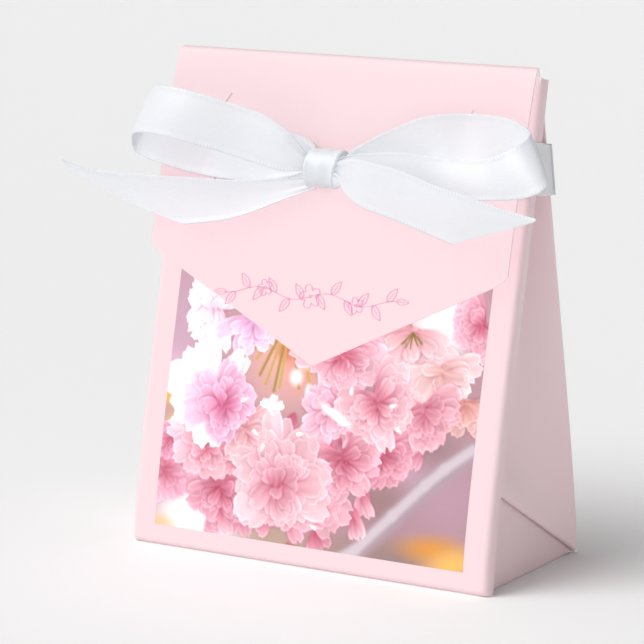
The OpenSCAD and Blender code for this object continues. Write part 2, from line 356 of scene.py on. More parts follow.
def shell(name, points, faces, thickness):
    """Card of even thickness: the faces given are its outside; its inside and cut edges are added."""
    points = np.asarray(points, float)
    used = np.unique(np.concatenate([np.asarray(f) for f in faces]))
    renumber = np.full(len(points), -1)
    renumber[used] = np.arange(len(used))
    points = points[used]
    faces = [[int(renumber[c]) for c in f] for f in faces]
    normal = np.zeros_like(points)
    for f in faces:
        corner = points[f]
        n = np.cross(corner[2] - corner[0], corner[-1] - corner[1] if len(f) > 3 else corner[0] - corner[1])
        normal[f] += n
    normal /= np.maximum(np.linalg.norm(normal, axis=1), 1e-9)[:, None]
    inside, rim = closed(faces, len(points))
    indices = [0] * len(faces) + [1] * len(inside) + [2] * len(rim)
    both = np.vstack([points, points - normal * thickness])
    obj = mesh_object(name, both, faces + inside + rim, [PINK, WHITE, EDGE], indices)
    obj.data.set_sharp_from_angle(angle=math.radians(40))
    return obj


stage = floor()
studio()


# ---------------------------------------------------------------- curves

def bezier(p, t):
    """Points at t of the cubic with four control points."""
    p = np.asarray(p, float)
    t = np.asarray(t, float)[:, None]
    return ((1 - t) ** 3 * p[0] + 3 * (1 - t) ** 2 * t * p[1]
            + 3 * (1 - t) * t ** 2 * p[2] + t ** 3 * p[3])


def smooth_through(points, steps):
    """Catmull-Rom curve through the points, with steps stretches between each pair."""
    p = np.asarray(points, float)
    q = np.vstack([2 * p[0] - p[1], p, 2 * p[-1] - p[-2]])
    t = (np.arange(steps) / steps)[:, None]
    parts = []
    for a, b, c, d in zip(q[:-3], q[1:-2], q[2:-1], q[3:]):
        parts.append(0.5 * (2 * b + (c - a) * t + (2 * a - 5 * b + 4 * c - d) * t ** 2
                            + (3 * b - a - 3 * c + d) * t ** 3))
    return np.vstack(parts + [p[-1:]])


def lengths(curve):
    """Distance along a curve to each of its points."""
    steps = np.linalg.norm(np.diff(curve, axis=0), axis=1)
    return np.concatenate([[0], np.cumsum(steps)])


def sample(curve, distance):
    """Points of a curve at the given distances along it."""
    run = lengths(curve)
    return np.column_stack([np.interp(distance, run, curve[:, k]) for k in range(curve.shape[1])])


def normals_2d(curve):
    """Unit normals on the left of a plane curve."""
    d = np.gradient(curve, axis=0)
    d /= np.linalg.norm(d, axis=1)[:, None]
    return np.column_stack([-d[:, 1], d[:, 0]])


def ease(x):
    """Smooth step from 0 to 1."""
    x = np.clip(x, 0, 1)
    return x * x * (3 - 2 * x)


# half depth of the tent's outer faces against height
CREST_Z, CREST_HALF = 122, 0.7
LEAN_CURVE = bezier([(HALF_D, 0), (HALF_D - 0.3, 18), (11.2, 68), (CREST_HALF, CREST_Z)],
                    np.linspace(0, 1, 400))


def half_depth(z):
    return np.interp(z, LEAN_CURVE[:, 1], LEAN_CURVE[:, 0])


PANEL_LEAN = math.atan((HALF_D - CREST_HALF) / CREST_Z)
# the flap's bow: distance down from the fold, and distance out from the back panel's plane
FLAP_SHAPE = [(0, 1.85), (15, 4.2), (45, 6.2), (FLAP_LEN, 5.6)]


def flap_curve(t):
    """Outer face of the flap in Y and Z, from the fold to the tip."""
    q = bezier(FLAP_SHAPE, t)
    c, s = math.cos(PANEL_LEAN), math.sin(PANEL_LEAN)
    return np.column_stack([RIDGE_Y - q[:, 0] * s - q[:, 1] * c, RIDGE_Z - q[:, 0] * c + q[:, 1] * s])


# ---------------------------------------------------------------- card

# radius of the folds, depth of the front's wings, and how far a side reaches under a wing
FOLD_R = 1.6
WING = 3.3
WING_TUCK = 1.6
CARD_TOP = RIDGE_Z - 1.4


def foot_curve(first, count):
    """Rounded foot of a panel, as half depth and height, from angle first up to vertical."""
    turns = np.linspace(first, math.pi / 2, count)
    return np.column_stack([HALF_D - FOLD_R + FOLD_R * np.sin(turns), FOLD_R - FOLD_R * np.cos(turns)])


def card_half_width(down, flap_run):
    """Half width of back and flap at a distance down from the ridge, which is below 0 on the back."""
    slope = FLAP_HALF / (flap_run - FLAP_SIDE)
    left = flap_run - down
    # the corners where the sides meet the point are rounded over turn before and after them
    turn = 2.5
    x = (down - FLAP_SIDE + turn) / (2 * turn)
    w = np.where(down < FLAP_SIDE, FLAP_HALF, left * slope)
    w = np.where(np.abs(down - FLAP_SIDE) < turn, FLAP_HALF - slope * turn * x ** 2, w)
    tip_r, half_angle = 1.2, math.atan(slope)
    meet = tip_r * (1 - math.sin(half_angle))
    w = np.where(left < meet, np.sqrt(np.clip(left * (2 * tip_r - left), 0, None)),
                 w + tip_r * math.cos(half_angle) - slope * meet)
    w = np.minimum(w, FLAP_HALF)
    # the back is a little narrower than the flap and widens just before the ridge
    back, widen = HALF_W - FOLD_R + 0.02, 4
    near = back + (FLAP_HALF - back) * ease((down + widen) / widen)
    return np.where(down < -widen, back, np.where(down < 0, near, w))


def back_and_flap():
    """Back panel, rounded ridge and pointed flap: one run of card with two slits."""
    foot = foot_curve(-0.6, 10)
    rise = np.array([(half_depth(z), z) for z in np.linspace(FOLD_R + 1, RIDGE_Z - 2.2, 40)])
    sag = 0.35
    ridge_r, ridge_h = 1.9, RIDGE_TOP - RIDGE_Z + sag
    crest = np.array([(RIDGE_Y + ridge_r * math.cos(a), RIDGE_Z - sag + ridge_h * math.sin(a))
                      for a in np.linspace(0.15, math.pi - 0.25, 12)])
    fall = flap_curve(np.linspace(0.02, 1, 60))
    line = smooth_through(np.vstack([foot, rise, crest, fall]), 4)
    run = lengths(line)
    ridge_run = run[np.argmax(line[:, 1])] + 2.0
    flap_run = run[-1] - ridge_run
    # rows: coarse up the back, fine over the folds and at the ends of the slits
    turns = np.linspace(0, math.pi / 2, 5)
    slit_half = 0.34
    slit_top, slit_end = 10.6, 32.5
    tip_steps = np.array([0.9, 0.6, 0.35, 0.2, 0.13, 0.08, 0.04, 0.015, 0.0])
    flap_rows = np.concatenate([
        np.arange(0.6, slit_top - slit_half - 0.5, 1.2), slit_top - slit_half * np.cos(turns),
        np.arange(slit_top + 2, slit_end - 1, 2), slit_end + slit_half * np.sin(turns),
        np.arange(slit_end + 2, FLAP_SIDE - 2.5, 1.5), np.arange(FLAP_SIDE - 2, FLAP_SIDE + 3, 0.25),
        np.arange(FLAP_SIDE + 3.5, flap_run - 1.2, 0.8), flap_run - tip_steps])
    back_rows = np.concatenate([np.arange(0, 5, 0.3), np.arange(6, ridge_run - 7, 2.0),
                                np.arange(ridge_run - 6, ridge_run, 0.3)])
    rows = np.concatenate([back_rows, ridge_run + flap_rows])
    path = sample(line, rows)
    down = rows - ridge_run

    # columns: close together at the slits and along the edges
    side_cols = np.concatenate([
        np.arange(2.5, SLIT_X - 2, 2.5),
        SLIT_X - slit_half * np.cos(turns), SLIT_X + slit_half * np.sin(turns[1:]),
        np.arange(SLIT_X + 2, FLAP_HALF - 3, 2.5),
        FLAP_HALF - np.array([2.5, 1.5, 0.8, 0.3, 0.0])])
    cols = np.concatenate([-side_cols[::-1], [0.0], side_cols])
    x = cols[None, :] * (card_half_width(down, flap_run)[:, None] / FLAP_HALF)
    # the upper end of each slit is a small hook
    hook_w, hook_run, hook_reach = 1.5, 3.2, 3.5
    hook = hook_w * ease((slit_top + 2.6 - down) / hook_run) * (down > 2)
    x = x + hook[:, None] * np.exp(-((np.abs(cols) - SLIT_X) / hook_reach) ** 2)[None, :]
    points = np.stack([x, path[:, :1] + 0 * x, path[:, 1:] + 0 * x], axis=2)
    dx = np.abs(np.abs(cols) - SLIT_X)[None, :]
    ds = np.maximum(slit_top - down, np.maximum(down - slit_end, 0))[:, None]
    inside = dx ** 2 + ds ** 2 < (slit_half - 0.01) ** 2

    def keep(i, j, cell):
        """Leaves out the cells of a slit, and halves the ones at its rounded ends."""
        flags = [inside[i, j], inside[i + 1, j], inside[i + 1, j + 1], inside[i, j + 1]]
        if not any(flags):
            near = np.abs(np.abs(cols[j] + cols[j + 1]) / 2 - SLIT_X) < slit_half * 0.6
            mid = (down[i] + down[i + 1]) / 2
            return [] if near and slit_top < mid < slit_end else cell
        if sum(flags) == 1:
            return [c for c, f in zip(cell, flags) if not f]
        return []

    faces = grid_faces(len(rows), len(cols), keep)
    obj = shell("back_and_flap_card", points.reshape(-1, 3), faces, CARD_T)
    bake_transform(obj)
    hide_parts("back_panel", "top_flap")
    return obj


def front_card():
    """Front panel with rounded vertical folds and a narrow wing on each side."""
    rise = np.array([(half_depth(z), z) for z in np.linspace(FOLD_R + 0.8, CARD_TOP, 70)])
    line = smooth_through(np.vstack([foot_curve(0, 10), rise]) * (-1, 1), 3)
    run = lengths(line)
    rows = np.concatenate([np.arange(0, 5, 0.25), np.arange(5.5, run[-1], 1.5), [run[-1]]])
    path = sample(line, rows)
    out = sample(np.column_stack([line, normals_2d(line)]), rows)[:, 2:]
    turns = np.linspace(0, math.pi / 2, 7)
    flat = np.linspace(0, HALF_W - FOLD_R, 24)[:-1]
    across = np.concatenate([flat, HALF_W - FOLD_R + FOLD_R * np.sin(turns), [HALF_W] * 3])
    beyond = FOLD_R + (WING - FOLD_R) * np.array([0.35, 0.7, 1])
    depth = np.concatenate([0 * flat, FOLD_R - FOLD_R * np.cos(turns), beyond])
    across = np.concatenate([-across[:0:-1], across])
    depth = np.concatenate([depth[:0:-1], depth])
    # the wings reach straight back, also where the foot is rounded, and end in one upright edge
    upright = 2.5 * FOLD_R
    out[path[:, 1] < upright] = out[np.argmax(path[:, 1] >= upright)]
    room = np.where(path[:, 1] > FOLD_R, 1, (WING - HALF_D - path[:, 0]) / WING)
    deep = depth[None, :] * np.minimum(1, room)[:, None]
    points = np.zeros((len(rows), len(across), 3))
    points[:, :, 0] = across[None, :]
    points[:, :, 1:] = path[:, None, :] - out[:, None, :] * deep[:, :, None]
    faces = [f[::-1] for f in grid_faces(len(rows), len(across))]
    obj = shell("front_card", points.reshape(-1, 3), faces, CARD_T)
    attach(obj, "front")
    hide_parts("front_panel", "front_wing_left", "front_wing_right")


# fold line across the foot of each side, as Y and Z
TAB_FRONT = np.array([-(HALF_D - 7.4), 23.4])
TAB_REAR = np.array([HALF_D - 3.0, 1.6])
TAB_SLOPE = (TAB_REAR[1] - TAB_FRONT[1]) / (TAB_REAR[0] - TAB_FRONT[0])
# how far the tab, and the side at its rim and in its hollow, lie inside the wings
TAB_RECESS = 1.9
SIDE_INSET = 0.5
SIDE_SINK = 2.4


def gusset_depth(z):
    """How far a side is drawn in: hardly at all low down, a deep pleat at the ridge."""
    return GUSSET_DEPTH * np.clip(z / RIDGE_Z, 0, 1) ** 1.7


def foot_edge():
    """Lower edge of a side: from under the front wing along the fold line to the rear foot."""
    under = 2.4
    start = TAB_FRONT - under * np.array([1.0, TAB_SLOPE])
    end = np.array([HALF_D - 0.6, 0.3])
    line = np.vstack([[start], [TAB_REAR], [end]])
    return sample(line, np.linspace(0, lengths(line)[-1], 90))


def side_card(side):
    """Gusseted side: nearly flat at the foot, folded inward toward the ridge, and round the rear corner."""
    name = "left" if side < 0 else "right"
    foot = foot_edge()
    along = np.gradient(foot, axis=0)
    along /= np.linalg.norm(along, axis=1)[:, None]
    toward_tab = np.column_stack([along[:, 1], -along[:, 0]])
    share = np.linspace(0, 1, len(foot))
    # the lower edge curls in toward the tab, except at the rear foot
    lip, rear_share = 0.7, 0.08
    curl = lip * ease((1 - share) / rear_share)[:, None]
    base = foot - toward_tab * curl
    plane = HALF_W - SIDE_INSET
    grid = []
    for a in np.linspace(math.pi / 2, 0, 6)[:-1]:
        at = base + toward_tab * curl * math.sin(a)
        grid.append(np.column_stack([plane - curl[:, 0] * (1 - math.cos(a)), at]))
    deep = half_depth(base[:, 1])
    low_w = np.clip((base[:, 0] + deep - WING_TUCK) / (2 * deep - WING_TUCK - FOLD_R), 0, 1)
    # w runs from the wing to the rear fold. The valley crease is nearer the wing low down, soft up to
    # soft_top and crisp crisp_run above it. The side sinks in over settle_run above its lower edge, and
    # its hollow fades out where the tent is less than full_depth deep.
    soft_top, crisp_run, settle_run, full_depth, valley_shift = 70, 40, 14, 12, 0.22
    for v in np.linspace(0, 1, 90) ** 1.1:
        z = base[:, 1] + (CARD_TOP - base[:, 1]) * v
        w = np.clip(low_w + (share - low_w) * v ** 0.7, 0, 1)
        deep = half_depth(z)
        tuck, rear = np.minimum(WING_TUCK, 0.6 * deep), np.minimum(FOLD_R, 0.8 * deep)
        y = -deep + tuck + w * (2 * deep - tuck - rear)
        centre = 0.5 - valley_shift * (1 - z / RIDGE_Z)
        arm = np.where(w < centre, w / centre, (1 - w) / (1 - centre))
        soft = 0.5 - 0.5 * np.cos(math.pi * arm)
        crisp = ease((z - soft_top) / crisp_run)
        fold = soft + (arm - soft) * crisp
        settle = ease((z - foot[:, 1]) / settle_run)
        sink = SIDE_SINK * (1 - w ** 2) * ease(deep / full_depth)
        x = plane - (gusset_depth(z) * fold + sink) * settle
        grid.append(np.column_stack([x, y, z]))
    rows, tucked = [], 0.1
    turns = np.linspace(0, math.pi / 2, 7)[1:]
    for row in grid:
        edge_x, _, z_end = row[-1]
        deep = float(half_depth(z_end))
        rear = min(FOLD_R, 0.8 * deep)
        reach = rear - (HALF_W - edge_x)
        corner = [(HALF_W - rear + reach * math.cos(a), deep - rear + rear * math.sin(a), z_end)
                  for a in turns]
        corner.append((HALF_W - FOLD_R - tucked, deep, z_end))
        rows.append(np.vstack([row, corner]))
    points = np.array(rows)
    points[:, :, 0] *= side
    faces = grid_faces(points.shape[0], points.shape[1])
    if side > 0:
        faces = [f[::-1] for f in faces]
    obj = shell("side_card_" + name, points.reshape(-1, 3), faces, SIDE_T)
    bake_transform(obj)
    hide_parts("gusset_rear_" + name, "gusset_front_" + name)


def base_card():
    """Base with the triangular tab that stands up inside each side."""
    wall = HALF_W - TAB_RECESS
    r = 0.5
    ys = np.concatenate([np.linspace(-HALF_D + 1.0, TAB_FRONT[0] + 2, 24),
                         np.linspace(TAB_FRONT[0] + 3, HALF_D - 0.8, 24)])
    # how far the tab reaches above the fold line, its gap to the front panel, and its rounded corner
    over, clear, blend = 4.0, CARD_T + 0.4, 0.8

    def tab_height(y):
        """Just above the fold line and up beside the front panel, so that the tab's edge isn't seen."""
        steep = np.interp(clear - y, LEAN_CURVE[::-1, 0], LEAN_CURVE[::-1, 1])
        slope = TAB_FRONT[1] + over + TAB_SLOPE * (y - TAB_FRONT[0])
        low = -blend * math.log(math.exp(-steep / blend) + math.exp(-slope / blend))
        return max(low, r + 0.2)

    turns = np.linspace(0, math.pi / 2, 6)[1:]
    grid = []
    for y in ys:
        h = tab_height(y)
        half = [(x, 0.0) for x in np.linspace(0, wall - r, 8)]
        half += [(wall - r + r * math.sin(a), r - r * math.cos(a)) for a in turns]
        half += [(wall, r + (h - r) * t) for t in np.linspace(0, 1, 8)[1:]]
        grid.append([(-x, y, z) for x, z in half[:0:-1]] + [(x, y, z) for x, z in half])
    points = np.array(grid)
    faces = grid_faces(points.shape[0], points.shape[1])
    obj = shell("base_card", points.reshape(-1, 3), faces, CARD_T)
    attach(obj, "carton")
    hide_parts("base_panel", "base_tab_left", "base_tab_right")
    return obj


wrap = back_and_flap()
front_card()
for side in (-1, 1):
    side_card(side)
base = base_card()


# ---------------------------------------------------------------- printed picture

PICTURE_HALF = 44.0
PICTURE_LOW, PICTURE_HIGH = 5.3, 112.0


class Painting:
    """Soft brushes on a sheet of colour, in millimetres across and up the panel."""

    def __init__(self, width, low, high, colour, pitch=0.2, seed=23):
        self.u = np.arange(-width / 2, width / 2 + pitch, pitch)
        self.v = np.arange(low, high + pitch, pitch)
        self.rgb = np.ones((len(self.v), len(self.u), 3)) * colour
        self.rng = np.random.default_rng(seed)

    def window(self, u, v, reach):
        """Part of the sheet within reach of a spot, and its distances from the spot."""
        i = np.searchsorted(self.v, [v - reach, v + reach])
        j = np.searchsorted(self.u, [u - reach, u + reach])
        part = (slice(*i), slice(*j))
        return part, self.u[part[1]][None, :] - u, self.v[part[0]][:, None] - v

    def lay(self, part, colour, alpha):
        if alpha.size:
            self.rgb[part] += (colour - self.rgb[part]) * alpha[:, :, None]

    def wash(self, u, v, colour, long, wide=None, turn=0.0, strength=1.0, edge=1.0):
        """Blurred patch; a small edge makes its border harder."""
        wide = wide or long
        part, du, dv = self.window(u, v, 3 * max(long, wide))
        c, s = math.cos(turn), math.sin(turn)
        r = np.sqrt(((du * c + dv * s) / long) ** 2 + ((dv * c - du * s) / wide) ** 2)
        self.lay(part, np.array(colour), strength * ease((1 + edge - r) / (2 * edge)))

    def line(self, points, width, colour, soft, lit=0.0):
        """Stroke through points, lighter along its upper side where lit is set."""
        for (ua, va), (ub, vb) in zip(points[:-1], points[1:]):
            reach = math.hypot(ub - ua, vb - va) / 2 + width + soft
            part, du, dv = self.window((ua + ub) / 2, (va + vb) / 2, reach)
            long = np.array([ub - ua, vb - va])
            size = np.linalg.norm(long)
            long = long / size
            along = np.clip(du * long[0] + dv * long[1], -size / 2, size / 2)
            off_u, off_v = du - along * long[0], dv - along * long[1]
            off = np.hypot(off_u, off_v)
            tone = np.array(colour) + lit * np.clip(off_v / width, -1, 1)[:, :, None]
            self.lay(part, tone, ease((width / 2 + soft / 2 - off) / soft))

    def petal(self, u, v, angle, length, width, root, tip, soft=0.35, glow=0.0, veins=0.02, shade=0.16):
        """One ruffled petal: darker root, pale toothed tip, a soft shadow under it."""
        part, du, dv = self.window(u, v, 1.35 * length)
        if not du.size or not dv.size:
            return
        rng = self.rng
        # a runs from root to tip, b across; the tip is toothed and has a notch
        c, s = math.cos(angle), math.sin(angle)
        a = (du * c + dv * s) / length
        b = (dv * c - du * s) / (width / 2)
        bend = rng.uniform(-0.25, 0.25)
        b = b - bend * a * a
        teeth = 0.05 * np.abs(np.sin(2.6 * math.pi * b + rng.uniform(0, 3)))
        notch = 0.10 * np.exp(-((b - rng.uniform(-.3, .3)) / 0.16) ** 2)
        a = a / (1 - teeth - notch)
        inside = np.clip(a, 0, 1)
        half = inside ** 0.6 * np.sqrt(np.clip(1 - inside ** 5, 0, 1))
        room = np.where((a > 0) & (a < 1), (half - np.abs(b)) * width / 2, -np.abs(b) * width - 1)
        room = np.minimum(room, (1 - a) * length)
        under = shade * ease((room + 1.0) / 1.6)
        pink_shadow = np.array([0.45, 1.0, 0.8])
        self.rgb[part] *= 1 - under[:, :, None] * pink_shadow
        along = ease(inside * 1.05)[:, :, None]
        tone = np.array(root) + (np.array(tip) - root) * along
        stripe = np.sin(b * rng.uniform(9, 13) + rng.uniform(0, 6) + 0.8 * np.sin(5 * a))
        tone = tone + (veins * stripe * np.clip(1.1 - a, 0, 1))[:, :, None]
        fold = rng.uniform(-0.05, 0.05)
        tone = tone + (fold * np.tanh(3 * (b - rng.uniform(-.4, .4))))[:, :, None]
        rim = np.exp(-((room - 0.25) / 0.35) ** 2) * ease((a - 0.35) / 0.4)
        tone = tone + (0.12 * rim)[:, :, None] * np.array([0.6, 1, 1])
        tone = tone + glow
        self.lay(part, tone, 0.93 * ease(room / soft + 0.5))

    def bloom(self, u, v, size, root, tip, face=0.0, squash=0.85, rings=5, glow=(0.0, 0.0), soft=0.4,
              fan=math.pi, heart=None):
        """Double blossom: rings of petals from the outside in. It nods toward face, and fan is how far round
        its petals spread from there."""
        rng = self.rng
        root, tip = np.array(root), np.array(tip)
        for ring in range(rings):
            share = 1 - ring / rings
            count = max(int((9 - 0.9 * ring) * (0.35 + 0.65 * fan / math.pi)), 4)
            start = rng.uniform(0, 2 * math.pi) if fan > 3 else face - fan
            for k in rng.permutation(count):
                angle = start + 2 * fan * (k + 0.5 + rng.uniform(-.38, .38)) / count
                toward = math.cos(angle - face)
                stretch = math.sqrt(squash ** 2 * toward ** 2 + (1 - toward ** 2))
                length = size * (0.32 + 0.74 * share) * stretch * rng.uniform(0.78, 1.12)
                width = size * (0.34 + 0.46 * share) * rng.uniform(0.7, 1.25)
                lift = size * 0.18 * (1 - share)
                at_u = u + lift * math.cos(face) + rng.uniform(-.07, .07) * size
                at_v = v + lift * math.sin(face) + rng.uniform(-.07, .07) * size
                deep = 0.25 + 0.75 * (1 - share)
                tone = tip + (root - tip) * (0.40 * (1 - share)) + rng.uniform(-.045, .035)
                base = tip + (root - tip) * (0.50 + 0.5 * deep)
                bright = glow[0] * max(0.0, math.cos(angle - glow[1])) * share
                self.petal(at_u, at_v, angle + rng.uniform(-.25, .25), length, width, base, tone, soft,
                           bright, veins=0.045, shade=0.14 + 0.14 * (1 - share))
        if heart is not None:
            for k in range(9):
                angle = face + rng.uniform(-1.1, 1.1)
                reach = size * rng.uniform(0.16, 0.3)
                at = (u + size * 0.1 * math.cos(face), v + size * 0.1 * math.sin(face))
                end = (at[0] + reach * math.cos(angle), at[1] + reach * math.sin(angle))
                self.line([at, end], 0.3, heart, 0.35)

    def loose(self, spots, size, root, tip, face, count):
        """Single petals that fill the gaps of a bunch."""
        rng = self.rng
        for _ in range(count):
            u, v = spots[rng.integers(len(spots))]
            at = (u + rng.uniform(-1, 1) * size, v + rng.uniform(-1, 1) * size)
            lift = rng.uniform(-.05, .05)
            turn = face + rng.uniform(-1.2, 1.2)
            self.petal(*at, turn, size * rng.uniform(.6, 1.1), size * rng.uniform(.5, .9),
                       np.array(root) + lift, np.array(tip) + lift, 0.6)


WHITE_INK = (1.0, 1.0, 1.0)
PINK_ROOT, PINK_TIP = (0.80, 0.42, 0.51), (0.95, 0.74, 0.785)
PALE_ROOT, PALE_TIP = (0.86, 0.60, 0.63), (0.965, 0.83, 0.845)
DEEP_ROOT, DEEP_TIP = (0.74, 0.34, 0.44), (0.90, 0.64, 0.71)


def paint():
    """Double cherry blossoms in front of a garden that is out of focus."""
    art = Painting(2 * PICTURE_HALF, PICTURE_LOW, PICTURE_HIGH, (0.72, 0.56, 0.60))
    wash, line, bloom = art.wash, art.line, art.bloom
    # out-of-focus garden
    wash(-40, 66, (0.74, 0.60, 0.65), 14, 18)
    wash(-42, 50, (0.80, 0.64, 0.72), 10, 14)
    wash(-42, 44, (0.90, 0.74, 0.84), 6, 4)
    wash(30, 18, (0.68, 0.54, 0.58), 16, 12)
    wash(38, 22, (0.72, 0.57, 0.63), 9, 8)
    wash(27, 27, (0.74, 0.60, 0.66), 6, 4)
    wash(20, 19, (0.60, 0.47, 0.47), 6, 5, strength=.8)
    wash(33, 34, (0.60, 0.48, 0.50), 6, 4, strength=.8)
    wash(18, 4, (0.61, 0.51, 0.46), 14, 5)
    wash(26, 5, (0.58, 0.49, 0.50), 5, 4)
    wash(-10, 6, (0.72, 0.62, 0.55), 12, 3.5)
    wash(35, 9.5, (0.86, 0.58, 0.28), 7, 2.6, turn=.1)
    wash(41, 6.5, (0.97, 0.74, 0.38), 6, 3, turn=.3)
    wash(-32, 8, WHITE_INK, 12, 8, edge=.7)
    wash(-43, 5, (0.95, 0.78, 0.58), 4, 2.5)
    wash(-43.5, 39, (0.95, 0.72, 0.30), 2.4, 3.0)
    wash(-41, 31, (0.90, 0.78, 0.50), 2.4, 2.5)
    wash(31, 64, WHITE_INK, 9, 10, edge=.8)
    wash(0, 95, (0.86, 0.74, 0.80), 50, 14)
    wash(-10, 52, (0.93, 0.70, 0.66), 13, 12)
    branch = [(8, 2), (14.6, 6.0), (24, 15.5), (32.2, 24.0), (37, 28.5), (44, 34)]
    line(branch, 4.4, (0.68, 0.60, 0.64), 3.0)
    line([(u - .3, v + .6) for u, v in branch], 2.4, (0.82, 0.76, 0.79), 1.6)
    # stems that hold the bunch
    wash(-9, 53, (0.82, 0.42, 0.34), 3.6, 2.6, edge=.9)
    wash(-6, 49, (0.90, 0.62, 0.56), 3.6, 4.6, edge=.9)
    ends = [(-19, 50), (-17.5, 46), (-15.5, 44), (-13, 42.5), (-11.5, 43.5), (-6, 44), (-3, 48), (-21, 52),
            (-1.5, 42)]
    for k, end in enumerate(ends):
        tone = (0.66, 0.54, 0.24) if k % 2 else (0.80, 0.66, 0.36)
        line([(-12.5 + k * .5, 59), end], 0.7, tone, 0.55, lit=0.12)
    wash(-11.5, 56, (0.95, 0.86, 0.50), 1.6, 1.3, edge=.9)
    wash(-5, 50, (0.99, 0.92, 0.86), 1.7, 1.4, edge=.8)
    wash(-7, 46.5, (1.0, 0.97, 0.97), 1.8, 2.0, edge=.6)
    wash(-3, 43.5, WHITE_INK, 1.0, 1.6, edge=.6)
    # upper rows, hidden by the flap while it is down
    upper = [(-30, 100), (-8, 104), (14, 100), (36, 103), (-38, 86), (-18, 90), (4, 88), (26, 87),
             (40, 84), (-28, 78), (-6, 77), (14, 78), (30, 80)]
    for k, spot in enumerate(upper):
        root, tip = (PALE_ROOT, PALE_TIP) if k % 2 else (PINK_ROOT, PINK_TIP)
        bloom(*spot, 12.5, root, tip, face=k * 1.3)
    # the bunch, from the back to the front
    bunch = [(-28, 30), (-18, 20), (-5, 12), (8, 20), (18, 32), (28, 44), (8, 42), (-16, 32), (-24, 20),
             (0, 30)]
    art.loose(bunch, 9, DEEP_ROOT, DEEP_TIP, -1.3, 60)
    art.loose(bunch, 8, PINK_ROOT, PINK_TIP, -1.3, 40)
    bloom(-43, 20, 11, PINK_ROOT, (0.97, 0.74, 0.82), face=-.9, rings=3, soft=1.4, fan=2)
    bloom(-41, 27, 7, PINK_ROOT, (0.95, 0.66, 0.76), face=2.4, rings=2, soft=1.2)
    bloom(-32, 61, 12, (0.95, 0.84, 0.93), WHITE_INK, face=2.8, squash=.8, rings=4, glow=(.15, 2.6), fan=2.4)
    bloom(-22, 60, 10, (0.90, 0.68, 0.86), (0.98, 0.86, 0.95), face=-.9, rings=3, fan=2)
    bloom(43, 65, 10, (0.78, 0.38, 0.48), (0.95, 0.74, 0.80), face=-2.3, squash=.9, rings=5, fan=1.9)
    bloom(24, 62, 14, PALE_ROOT, PALE_TIP, face=-1.6, squash=.9, rings=3, fan=1.5,
          heart=(0.52, 0.47, 0.22))
    bloom(33, 53, 12, (0.90, 0.68, 0.66), (0.965, 0.83, 0.84), face=-1.3, rings=3, fan=1.7)
    bloom(40, 46, 10, (0.82, 0.55, 0.52), (0.93, 0.74, 0.73), face=-1.5, rings=3, fan=1.5)
    bloom(-25, 18, 11, DEEP_ROOT, DEEP_TIP, face=-1.5, rings=4, fan=1.7)
    bloom(-31, 28, 11, PINK_ROOT, PINK_TIP, face=-1.5, rings=4, glow=(.14, 2.8), fan=2.1)
    bloom(0, 18, 13, PINK_ROOT, (0.93, 0.70, 0.75), face=-1.3, rings=4, fan=1.7)
    bloom(19, 31, 11, DEEP_ROOT, (0.92, 0.66, 0.72), face=-.9, squash=.9, rings=4, fan=1.6)
    bloom(29, 43, 11, (0.80, 0.46, 0.54), (0.93, 0.69, 0.74), face=-1.1, rings=4, fan=1.8)
    bloom(3, 40, 10, (0.84, 0.52, 0.62), (0.96, 0.78, 0.85), face=-.4, squash=.7, rings=3)
    bloom(5, 55, 13, PINK_ROOT, (0.955, 0.78, 0.83), face=-1.5, squash=.95, rings=6, fan=2.0)
    bloom(8, 29, 12, DEEP_ROOT, (0.93, 0.70, 0.75), face=-1.0, squash=.9, rings=5, fan=2.1)
    bloom(16, 44, 13, PINK_ROOT, (0.97, 0.80, 0.83), face=-1.1, squash=.9, rings=6, fan=2.2)
    bloom(-20, 33, 10, PALE_ROOT, (0.95, 0.77, 0.79), face=-1.4, squash=.9, rings=4, fan=2.1)
    for turn in (0.4, 1.5, 2.6, 4.4):
        art.petal(-13, 38, turn, 3.8, 3.0, WHITE_INK, WHITE_INK, 0.5, shade=0.0)
    wash(5, 38.5, (1, .98, .99), 5, 1.1, edge=.5, turn=-.45)
    bloom(-9, 22, 15, PINK_ROOT, (0.965, 0.80, 0.83), face=-1.4, squash=.95, rings=7)
    bloom(-30.5, 41, 14.5, (0.98, 0.93, 0.97), WHITE_INK, face=2.4, squash=.95, rings=2, glow=(.1, 2.4))
    bloom(-28, 38.5, 11, (0.82, 0.40, 0.56), (0.96, 0.76, 0.86), face=-.9, squash=.95, rings=5,
          glow=(.1, 2.4))
    # sparks where the sun catches a petal's edge
    for u, v in [(-15, 27), (-16, 31), (9, 46), (22, 43), (-3, 33), (1, 11), (24, 36), (-20, 40)]:
        art.petal(u, v, art.rng.uniform(0, 6), 2.4, 1.3, WHITE_INK, WHITE_INK, 0.5, shade=0.0)
    return art


